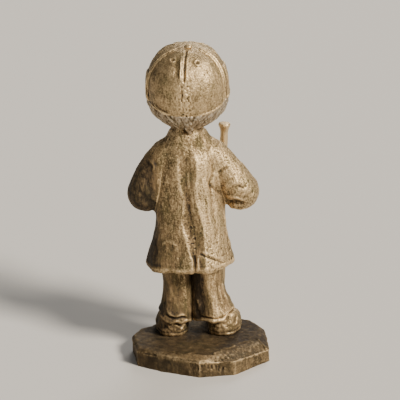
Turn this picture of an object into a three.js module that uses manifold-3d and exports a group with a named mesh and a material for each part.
// A cast metal figurine: a child in a ball cap and a long jersey, with a bat, on a rock base.
// It is built as the separate castings it is assembled from, each its own closed solid, held
// together by short metal pins in blind holes and by edges that tuck into one another.
//
// Frame: millimetres, +Z up, the base's underside at z = 0. The child faces -Y, so its own
// right hand is towards -X. The origin is under the middle of the overall box.

import * as THREE from "three";
import { ConvexGeometry } from "three/addons/geometries/ConvexGeometry.js";
import { LoftGeometry } from "three/addons/geometries/LoftGeometry.js";
import { mergeVertices } from "three/addons/utils/BufferGeometryUtils.js";
import Module from "manifold-3d";

const wasm = await Module();
wasm.setup();

// ---- Driving dimensions ----

const GAP = 0.3; // between a piece and the neighbour that it is cut to fit
const BORE_GAP = 0.15; // between a pin and its hole, on the radius
const SLIVER = 0.01; // edges shorter than this are merged away

const BASE_HALF_WIDTH = 19;
const HALF_DEPTH = 19.3; // the base's back edge and the visor's front edge are this far out
const BASE_TOP = 5;

const BODY_X = 1; // the child stands a little to its left of the base's middle
const BODY_Y = -2;

const SHOE_LENGTH = 14.6;
const SHOE_HALF_WIDTH = 4.6;
const SHOE_TOP = 11.5;
const CUFF_BOTTOM = 9.8;
const LEG_TOP = 27.2;
const HEM = 25.6;
const COLLAR = 63;

const HEAD_CENTRE = new THREE.Vector3(0.3, -2.3, 74.6);
const HEAD_RADII = new THREE.Vector3(9.2, 9.6, 10.6);
const CROWN_CENTRE = new THREE.Vector3(0.3, -1.9, 75.6);
const CROWN_RADII = new THREE.Vector3(11.2, 11.5, 11.2);
const HAIR_CENTRE = new THREE.Vector3(0.3, -1.9, 74.3);
const HAIR_RADII = new THREE.Vector3(11.3, 11.3, 11.1);
const HEAD_TILT = THREE.MathUtils.degToRad(8); // the child looks up a little
const RIM_HEIGHT = 72; // the cap's rim where it crosses y = 0
const RIM_SLOPE = 0.38; // and how far it falls for each millimetre towards the back
const BUTTON_TILT = THREE.MathUtils.degToRad(14); // how far back from upright the button sits

const BAT_FOOT = new THREE.Vector3(-4.6, -13, BASE_TOP + 0.3); // it leans outwards and back
const BAT_KNOB = new THREE.Vector3(-9.5, -10.6, 62.7);

const PIN_RADIUS = 0.6;

// ---- Materials ----

const pewter = new THREE.MeshStandardMaterial({ color: 0x8f7d63, roughness: 0.5, metalness: 0.7 });
const brightPewter = new THREE.MeshStandardMaterial({
  color: 0xb5a387,
  roughness: 0.4,
  metalness: 0.8,
});
const stonePewter = new THREE.MeshStandardMaterial({
  color: 0x75654d,
  roughness: 0.6,
  metalness: 0.6,
});
const pinMetal = new THREE.MeshStandardMaterial({ color: 0xb08d4a, roughness: 0.4, metalness: 0.9 });

// ---- Making solids ----

// A manifold-3d solid from a closed three.js geometry.
function solidOf(geometry) {
  const bare = new THREE.BufferGeometry().setAttribute(
    "position",
    (geometry.index ? geometry.toNonIndexed() : geometry).getAttribute("position"),
  );
  const merged = mergeVertices(bare, 1e-4);
  return new wasm.Manifold(
    new wasm.Mesh({
      numProp: 3,
      vertProperties: new Float32Array(merged.getAttribute("position").array),
      triVerts: new Uint32Array(merged.index.array),
    }),
  );
}

// A three.js geometry from a manifold-3d solid, without the slivers that cutting leaves.
function geometryOf(solid) {
  const made = solid.simplify(SLIVER).getMesh();
  const geometry = new THREE.BufferGeometry();
  geometry.setAttribute("position", new THREE.BufferAttribute(made.vertProperties, 3));
  geometry.setIndex(new THREE.BufferAttribute(made.triVerts, 1));
  geometry.computeVertexNormals();
  return geometry;
}

const figurine = new THREE.Group();

// Adds one casting to the figurine under its own name.
function addPiece(name, solid, material) {
  const mesh = new THREE.Mesh(geometryOf(solid), material);
  mesh.name = name;
  figurine.add(mesh);
}

// One closed cross-section: an ellipse, or a squarer oval where power is above 2.
function section(centre, side, across, radiusSide, radiusAcross, around, power) {
  const points = [];
  for (let i = 0; i < around; i++) {
    const angle = (i / around) * Math.PI * 2;
    const c = Math.cos(angle);
    const s = Math.sin(angle);
    points.push(
      centre
        .clone()
        .addScaledVector(side, radiusSide * Math.sign(c) * Math.abs(c) ** (2 / power))
        .addScaledVector(across, radiusAcross * Math.sign(s) * Math.abs(s) ** (2 / power)),
    );
  }
  return points;
}

// Stations are [x, y, z, side radius, across radius]; curves through them give the steps between.
function stationCurves(stations) {
  return {
    line: new THREE.CatmullRomCurve3(stations.map(([x, y, z]) => new THREE.Vector3(x, y, z))),
    radii: new THREE.CatmullRomCurve3(stations.map(([, , , u, v]) => new THREE.Vector3(u, v, 0))),
  };
}

// An upright form, whose cross-sections are level and go from bottom to top.
function upright(stations, { steps = stations.length - 1, around = 24, power = 2, grow = 0 } = {}) {
  const { line, radii } = stationCurves(stations);
  const sideways = new THREE.Vector3(1, 0, 0);
  const forwards = new THREE.Vector3(0, 1, 0);
  const sections = [];
  for (let i = 0; i <= steps; i++) {
    const centre = line.getPoint(i / steps);
    const radius = radii.getPoint(i / steps);
    if (i === 0) centre.z -= grow;
    if (i === steps) centre.z += grow;
    sections.push(
      section(centre, sideways, forwards, radius.x + grow, radius.y + grow, around, power),
    );
  }
  return solidOf(new LoftGeometry(sections, { capStart: true, capEnd: true }));
}

// A limb, whose cross-sections stand square to the line through its stations.
function limb(stations, { steps = 10, around = 18, grow = 0 } = {}) {
  const { line, radii } = stationCurves(stations);
  const sections = [];
  for (let i = 0; i <= steps; i++) {
    const centre = line.getPoint(i / steps);
    const along = line.getTangent(i / steps);
    const side = new THREE.Vector3(1, 0, 0).addScaledVector(along, -along.x).normalize();
    const across = along.clone().cross(side);
    const radius = radii.getPoint(i / steps);
    if (i === 0) centre.addScaledVector(along, -grow);
    if (i === steps) centre.addScaledVector(along, grow);
    sections.push(section(centre, side, across, radius.x + grow, radius.y + grow, around, 2));
  }
  return solidOf(new LoftGeometry(sections, { capStart: true, capEnd: true }));
}

// An ellipsoid that leans back with the head; shape may move its unit points before they scale.
function leaningEllipsoid(centre, radii, grow = 0, shape = (point) => point) {
  const geometry = new THREE.SphereGeometry(1, 24, 16).rotateX(Math.PI / 2);
  const position = geometry.getAttribute("position");
  const point = new THREE.Vector3();
  for (let i = 0; i < position.count; i++) {
    point.fromBufferAttribute(position, i);
    shape(point);
    position.setXYZ(i, point.x, point.y, point.z);
  }
  geometry.scale(radii.x + grow, radii.y + grow, radii.z + grow);
  geometry.rotateX(-HEAD_TILT);
  geometry.translate(centre.x, centre.y, centre.z);
  return solidOf(geometry);
}

// A round rod between two points.
function rod(from, to, radius, around = 10) {
  const along = to.clone().sub(from);
  const geometry = new THREE.CylinderGeometry(radius, radius, along.length(), around);
  geometry.applyQuaternion(
    new THREE.Quaternion().setFromUnitVectors(
      new THREE.Vector3(0, 1, 0),
      along.clone().normalize(),
    ),
  );
  const middle = from.clone().add(to).multiplyScalar(0.5);
  geometry.translate(middle.x, middle.y, middle.z);
  return solidOf(geometry);
}

// A box from its two corners.
function box(low, high) {
  const size = new THREE.Vector3(...high).sub(new THREE.Vector3(...low));
  const geometry = new THREE.BoxGeometry(size.x, size.y, size.z);
  geometry.translate(low[0] + size.x / 2, low[1] + size.y / 2, low[2] + size.z / 2);
  return solidOf(geometry);
}

// ---- Pins and their holes ----

// A pin's two ends, and the hole that each casting it passes through gets.
function pin(name, from, to, radius = PIN_RADIUS) {
  const along = to.clone().sub(from).normalize().multiplyScalar(GAP);
  return {
    name,
    body: rod(from, to, radius),
    hole: rod(from.clone().sub(along), to.clone().add(along), radius + BORE_GAP),
  };
}

const SIDES = [
  { name: "left", sign: 1, ankle: [6.9, -3.2], hip: 5.3, heel: 1.7, toeOut: 4 },
  { name: "right", sign: -1, ankle: [-6.4, -1.7], hip: -3.4, heel: 3.0, toeOut: 7 },
];

const pins = { neck: pin("neck_pin", new THREE.Vector3(0.7, -2, 58), new THREE.Vector3(0.7, -2, 71), 0.8) };
for (const { name, sign, ankle, hip } of SIDES) {
  pins[name + "Foot"] = pin(
    name + "_foot_pin",
    new THREE.Vector3(ankle[0], ankle[1], 2),
    new THREE.Vector3(ankle[0], ankle[1], 16),
  );
  pins[name + "Hip"] = pin(
    name + "_hip_pin",
    new THREE.Vector3(hip, BODY_Y, 23),
    new THREE.Vector3(hip, BODY_Y, 31),
  );
  pins[name + "Arm"] = pin(
    name + "_arm_pin",
    new THREE.Vector3(sign * 5, BODY_Y, 53),
    new THREE.Vector3(sign * 11, BODY_Y, 50.5),
  );
}
for (const { name, body } of Object.values(pins)) addPiece(name, body, pinMetal);

// ---- Base: a slab of rock with a chipped, sloping rim ----

// Corners of the rim, seen from above: [x, y, height of the rim, how far the top is set in].
const RIM_CORNERS = [
  [BASE_HALF_WIDTH, -2, 4.1, 0.9],
  [17.3, 9.3, 4.2, 1.0],
  [10.6, 14.2, 4.3, 1.2],
  [0.5, HALF_DEPTH, 4.4, 2.6],
  [-9.3, 18.6, 4.3, 3.8],
  [-BASE_HALF_WIDTH, 9.4, 3.4, 3.2],
  [-18.4, -3.6, 3.9, 1.2],
  [-15.1, -9.5, 4.1, 0.9],
  [-11.8, -11.6, 4.2, 0.8],
  [-5.8, -15.2, 4.2, 0.7],
  [0.8, -16.3, 4.3, 0.8],
  [6.8, -13, 4.1, 0.7],
  [12, -9.6, 4.2, 0.8],
  [17, -6, 4.0, 0.9],
];

function makeBase() {
  const points = [];
  for (const [x, y, rim, inset] of RIM_CORNERS) {
    const reach = Math.hypot(x, y);
    points.push(new THREE.Vector3(x, y, rim));
    points.push(new THREE.Vector3(x * (1 - 0.8 / reach), y * (1 - 0.8 / reach), 0));
    points.push(new THREE.Vector3(x * (1 - inset / reach), y * (1 - inset / reach), BASE_TOP));
  }
  return solidOf(new ConvexGeometry(points));
}

addPiece(
  "rock_base",
  makeBase().subtract(pins.leftFoot.hole).subtract(pins.rightFoot.hole),
  stonePewter,
);

// ---- Bat: one turned rod with a knob, a slim handle and a fat barrel ----

const BAT_LENGTH = BAT_FOOT.distanceTo(BAT_KNOB);

// [radius, distance from the barrel's end]
const BAT_PROFILE = [
  [0, 0],
  [1.6, 0],
  [2.1, 0.5],
  [2.3, 1.4],
  [2.3, 13],
  [2.0, 21],
  [1.55, 29],
  [1.22, 37],
  [1.12, 46],
  [1.12, BAT_LENGTH - 2.5],
  [1.3, BAT_LENGTH - 1.8],
  [1.7, BAT_LENGTH - 1.2],
  [1.72, BAT_LENGTH - 0.6],
  [1.3, BAT_LENGTH - 0.1],
  [0, BAT_LENGTH],
];

function makeBat(grow = 0) {
  const profile = BAT_PROFILE.map(
    ([radius, along]) => new THREE.Vector2(radius ? radius + grow : 0, along),
  );
  const geometry = new THREE.LatheGeometry(profile, 16);
  const lean = BAT_KNOB.clone().sub(BAT_FOOT).normalize();
  geometry.applyQuaternion(
    new THREE.Quaternion().setFromUnitVectors(new THREE.Vector3(0, 1, 0), lean),
  );
  geometry.translate(BAT_FOOT.x, BAT_FOOT.y, BAT_FOOT.z);
  return solidOf(geometry);
}

addPiece("bat", makeBat(), brightPewter);

// ---- Shoes and trouser legs ----

// A shoe's level sections: [height, half width, heel set in, toe set in].
const SHOE_LEVELS = [
  [BASE_TOP, 0.9, 0.5, 0.8],
  [BASE_TOP + 0.9, 1, 0.1, 0.1],
  [BASE_TOP + 2.1, 1, 0, 0],
  [BASE_TOP + 3.5, 0.97, 0.2, 1.2],
  [BASE_TOP + 4.7, 0.9, 0.6, 3.6],
  [BASE_TOP + 5.7, 0.83, 0.9, 5.8],
  [SHOE_TOP, 0.76, 1.3, 7.0],
];

function makeShoe({ ankle, heel, toeOut, sign }, grow = 0) {
  const stations = SHOE_LEVELS.map(([z, share, heelIn, toeIn]) => {
    const back = heel - heelIn;
    const front = heel - SHOE_LENGTH + toeIn;
    return [ankle[0], (back + front) / 2, z, SHOE_HALF_WIDTH * share, (back - front) / 2];
  });
  const shoe = upright(stations, { steps: 9, around: 22, power: 2.35, grow });
  return shoe
    .translate([-ankle[0], -heel, 0])
    .rotate([0, 0, -sign * -toeOut])
    .translate([ankle[0], heel, 0]);
}

// A trouser leg's level sections: [height, middle x, half width, middle y, half depth]. The legs
// flare over the shoes, and all but touch each other from the hem down to the cuffs.
const LEG_LEVELS = {
  left: [
    [CUFF_BOTTOM, 7.05, 4.9, -3.2, 5.6],
    [11.5, 6.75, 4.8, -3.2, 5.7],
    [13.2, 6.05, 4.35, -3.1, 5.3],
    [16.5, 5.7, 4.05, -2.7, 4.9],
    [20, 5.5, 3.85, -2.3, 4.8],
    [24, 5.7, 4.05, -2.1, 4.9],
    [LEG_TOP, 5.7, 4.05, BODY_Y, 5.1],
  ],
  right: [
    [CUFF_BOTTOM, -5.25, 5.9, -1.7, 5.6],
    [11.5, -4.9, 5.8, -1.7, 5.7],
    [13.2, -4.15, 5.35, -1.8, 5.3],
    [16.5, -3.4, 4.65, -1.9, 4.9],
    [20, -3.05, 4.3, BODY_Y, 4.8],
    [24, -3.05, 4.3, BODY_Y, 4.9],
    [LEG_TOP, -3.05, 4.3, BODY_Y, 5.1],
  ],
};

function makeTrouserLeg({ name }) {
  const stations = LEG_LEVELS[name].map(([z, x, wide, y, deep]) => [x, y, z, wide, deep]);
  return upright(stations, { steps: 9, around: 22 });
}

for (const side of SIDES) {
  const foot = pins[side.name + "Foot"];
  const hip = pins[side.name + "Hip"];
  // The bat's end stands against the right shoe's toe, which is notched to clear it.
  addPiece(side.name + "_shoe", makeShoe(side).subtract(foot.hole).subtract(makeBat(GAP)), pewter);
  addPiece(
    side.name + "_trouser_leg",
    makeTrouserLeg(side)
      .subtract(makeShoe(side, GAP))
      .subtract(foot.hole)
      .subtract(hip.hole),
    pewter,
  );
}

// ---- Jersey, sleeves and hands ----

const JERSEY_STATIONS = [
  [BODY_X + 0.55, BODY_Y, HEM, 11.35, 9.0],
  [BODY_X + 0.55, BODY_Y, HEM + 1.1, 12.05, 9.6],
  [BODY_X + 0.6, BODY_Y, 29.5, 11.2, 9.3],
  [BODY_X + 0.35, BODY_Y, 33.8, 10.05, 8.6],
  [BODY_X, BODY_Y, 38, 9.4, 7.9],
  [BODY_X - 0.1, BODY_Y, 43, 9.1, 7.5],
  [BODY_X, BODY_Y, 48, 9.0, 7.2],
  [BODY_X, BODY_Y, 53, 8.9, 6.9],
  [BODY_X, BODY_Y, 57.5, 8.1, 6.3],
  [BODY_X - 0.1, BODY_Y, 60.8, 6.3, 5.4],
  [BODY_X - 0.2, BODY_Y, COLLAR, 4.9, 4.8],
];

function makeJersey(grow = 0) {
  return upright(JERSEY_STATIONS, { steps: 14, around: 26, grow });
}

// The hollow under the hem that the tops of the legs go up into.
const hemHollow = upright(
  [
    [BODY_X + 0.4, BODY_Y, HEM - 1, 10.5, 8.3],
    [BODY_X + 0.2, BODY_Y, LEG_TOP + GAP, 9.9, 7.8],
  ],
  { around: 26 },
);

addPiece(
  "jersey",
  makeJersey()
    .subtract(hemHollow)
    .subtract(pins.leftHip.hole)
    .subtract(pins.rightHip.hole)
    .subtract(pins.leftArm.hole)
    .subtract(pins.rightArm.hole)
    .subtract(pins.neck.hole),
  pewter,
);

// A sleeve: stations from the shoulder to the elbow, then the cuff's [x, y, z, radius].
const SLEEVES = {
  left: {
    upper: [
      [3.9, BODY_Y, 59.8, 1.9, 2.6],
      [7.2, BODY_Y, 57.6, 3.2, 4.1],
      [9.5, BODY_Y - 0.1, 53.9, 4.1, 4.7],
      [11.7, BODY_Y - 0.2, 49.4, 4.7, 4.9],
      [12.8, BODY_Y - 0.5, 46.2, 4.7, 4.9],
    ],
    cuff: [11.6, BODY_Y - 6.2, 44.9, 4.6],
  },
  right: {
    upper: [
      [-2.3, BODY_Y, 59.6, 1.9, 2.6],
      [-5.8, BODY_Y, 57.3, 3.2, 4.1],
      [-8.4, BODY_Y - 0.1, 53.0, 4.1, 4.7],
      [-11.4, BODY_Y - 0.2, 48.3, 4.7, 5.0],
      [-12.9, BODY_Y - 0.6, 45.5, 4.8, 5.0],
    ],
    cuff: [-11.8, BODY_Y - 6.2, 44.5, 4.7],
  },
};
const ELBOW_RADIUS = 5.1;

// A bent sleeve: the upper arm, a round elbow, and the lower arm out to the cuff.
function makeSleeve({ upper, cuff }) {
  const [x, y, z] = upper.at(-1);
  const elbow = new THREE.SphereGeometry(ELBOW_RADIUS, 16, 12).rotateX(Math.PI / 2);
  elbow.translate(x, y - 0.6, z - 0.4);
  const lower = limb(
    [
      [x, y - 0.3, z - 0.3, cuff[3], cuff[3]],
      [...cuff, cuff[3]],
    ],
    { steps: 2, around: 16 },
  );
  return limb(upper, { steps: 8, around: 16 }).add(solidOf(elbow)).add(lower);
}

// The inside of the cuff, wider than the forearm that comes out of it.
function cuffHollow({ upper, cuff }) {
  const mouth = new THREE.Vector3(...cuff.slice(0, 3));
  const along = mouth.clone().sub(new THREE.Vector3(...upper.at(-1).slice(0, 3))).normalize();
  const at = (distance, radius) => [
    ...mouth.clone().addScaledVector(along, distance),
    radius,
    radius,
  ];
  return limb([at(-3, 2.9), at(-1.2, 3.4), at(0.8, cuff[3] - 0.8)], { steps: 3, around: 12 });
}

const HAND_STATIONS = {
  left: [
    [12.8, -4.8, 44.7, 2.4, 2.4],
    [12.0, -6.7, 44.8, 2.5, 2.5],
    [10.6, -8.8, 45.2, 2.5, 2.4],
    [8.8, -10.7, 45.8, 2.3, 2.3],
    [6.9, -11.9, 46.3, 2.4, 2.9],
    [4.9, -12.2, 46.7, 2.1, 2.9],
    [3.3, -12.0, 46.9, 1.3, 2.0],
    [2.9, -11.9, 46.9, 0.6, 0.9],
  ],
  right: [
    [-12.9, -4.7, 44.6, 2.3, 2.3],
    [-12.2, -6.8, 45.0, 2.5, 2.5],
    [-11.2, -8.6, 46.2, 2.4, 2.4],
    [-9.9, -10.0, 47.2, 2.6, 2.6],
    [-8.6, -11.1, 47.9, 3.1, 3.0],
    [-7.3, -12.0, 48.4, 2.9, 2.8],
    [-6.4, -12.7, 48.7, 1.9, 1.8],
    [-6.1, -12.9, 48.8, 0.9, 0.9],
  ],
};

function makeHand(side, grow = 0) {
  return limb(HAND_STATIONS[side.name], { steps: 10, around: 12, grow });
}

// The forearm ends in a socket at the bottom of the cuff's hollow; the right fist is closed
// round the bat's handle, which passes through it.
for (const side of SIDES) {
  const arm = pins[side.name + "Arm"];
  addPiece(
    side.name + "_sleeve",
    makeSleeve(SLEEVES[side.name])
      .subtract(makeJersey(GAP))
      .subtract(cuffHollow(SLEEVES[side.name]))
      .subtract(makeHand(side, GAP))
      .subtract(arm.hole),
    pewter,
  );
  addPiece(
    side.name + "_hand",
    makeHand(side).subtract(makeJersey(GAP)).subtract(makeBat(BORE_GAP)),
    brightPewter,
  );
}

// ---- Head, neck, hair and cap ----

// The head narrows from the cheeks to the chin.
function makeHead(grow = 0) {
  return leaningEllipsoid(HEAD_CENTRE, HEAD_RADII, grow, (point) => {
    const below = Math.max(0, -point.z - 0.2);
    point.x *= 1 - 0.28 * below * below;
    point.y *= 1 - 0.1 * below;
  });
}

function makeNeck(grow = 0) {
  return upright(
    [
      [BODY_X - 0.2, BODY_Y + 0.2, COLLAR, 4.3, 4.2],
      [BODY_X - 0.3, BODY_Y + 0.3, 65, 4.1, 4.1],
      [BODY_X - 0.4, BODY_Y + 0.4, 68, 4.3, 4.4],
    ],
    { steps: 3, around: 16, grow },
  );
}

// Everything above the plane of the cap's rim, raised or lowered by an offset.
function aboveRim(offset) {
  const reach = 40;
  const shape = new THREE.Shape([
    new THREE.Vector2(-reach, RIM_HEIGHT + RIM_SLOPE * reach + offset),
    new THREE.Vector2(reach, RIM_HEIGHT - RIM_SLOPE * reach + offset),
    new THREE.Vector2(reach, RIM_HEIGHT + reach),
    new THREE.Vector2(-reach, RIM_HEIGHT + reach),
  ]);
  const geometry = new THREE.ExtrudeGeometry(shape, { depth: 2 * reach, bevelEnabled: false });
  // The shape's x and y become the part's y and z, and the extrusion runs along x.
  geometry.applyMatrix4(
    new THREE.Matrix4().set(0, 0, 1, -reach, 1, 0, 0, 0, 0, 1, 0, 0, 0, 0, 0, 1),
  );
  return solidOf(geometry);
}

const crownOuter = leaningEllipsoid(CROWN_CENTRE, CROWN_RADII);
const crownGrown = leaningEllipsoid(CROWN_CENTRE, CROWN_RADII, GAP);

addPiece("head", makeHead().subtract(pins.neck.hole), brightPewter);
addPiece("neck", makeNeck().subtract(makeHead(GAP)).subtract(pins.neck.hole), brightPewter);
addPiece(
  "cap_crown",
  crownOuter.intersect(aboveRim(0)).subtract(makeHead(GAP)),
  pewter,
);

// The hair below the rim, round the back and sides, open at the face.
const faceOpening = box([-7.6, -20, 60], [8.2, -3, 90]).add(box([-20, -20, 60], [20, -7, 90]));
addPiece(
  "hair",
  leaningEllipsoid(HAIR_CENTRE, HAIR_RADII)
    .subtract(aboveRim(-GAP))
    .subtract(makeHead(GAP))
    .subtract(makeNeck(GAP))
    .subtract(faceOpening),
  pewter,
);

// The visor: a plate that sags to its sides, in slices from one side to the other.
const VISOR_HALF_WIDTH = 8.8;
const VISOR_THICKNESS = 1.2;
const VISOR_HEIGHT = 76.6;
const VISOR_DEPTH = 9.6; // from the middle of its curve to its front edge
const VISOR_SAG = 0.03; // millimetres down for each square millimetre sideways
const VISOR_SLICES = 16;

function makeVisor() {
  const sections = [];
  for (let i = 0; i <= VISOR_SLICES; i++) {
    const across = -Math.cos((i / VISOR_SLICES) * Math.PI) * 0.995;
    const x = HEAD_CENTRE.x + across * VISOR_HALF_WIDTH;
    const front = -HALF_DEPTH + VISOR_DEPTH * (1 - Math.sqrt(1 - across * across));
    const back = -HALF_DEPTH + VISOR_DEPTH + 1.5;
    const z = VISOR_HEIGHT - VISOR_SAG * (across * VISOR_HALF_WIDTH) ** 2;
    const edge = VISOR_THICKNESS * 0.3;
    sections.push([
      new THREE.Vector3(x, front + edge, z),
      new THREE.Vector3(x, front, z - VISOR_THICKNESS / 2),
      new THREE.Vector3(x, front + edge, z - VISOR_THICKNESS),
      new THREE.Vector3(x, back, z - VISOR_THICKNESS),
      new THREE.Vector3(x, back, z),
    ]);
  }
  const plate = new LoftGeometry(sections, { capStart: true, capEnd: true });
  return solidOf(plate).subtract(crownGrown).subtract(makeHead(GAP));
}

addPiece("cap_visor", makeVisor(), pewter);

// The cloth-covered button where the crown's seams meet.
function makeButton() {
  const top = new THREE.Vector3(-0.06, Math.sin(BUTTON_TILT), Math.cos(BUTTON_TILT))
    .multiply(CROWN_RADII)
    .add(CROWN_CENTRE);
  const geometry = new THREE.SphereGeometry(1.3, 14, 10).rotateX(Math.PI / 2).scale(1, 1, 0.6);
  geometry.rotateX(-BUTTON_TILT).translate(top.x, top.y, top.z);
  return solidOf(geometry).subtract(leaningEllipsoid(CROWN_CENTRE, CROWN_RADII, GAP / 3));
}

addPiece("cap_button", makeButton(), pewter);

export default figurine;
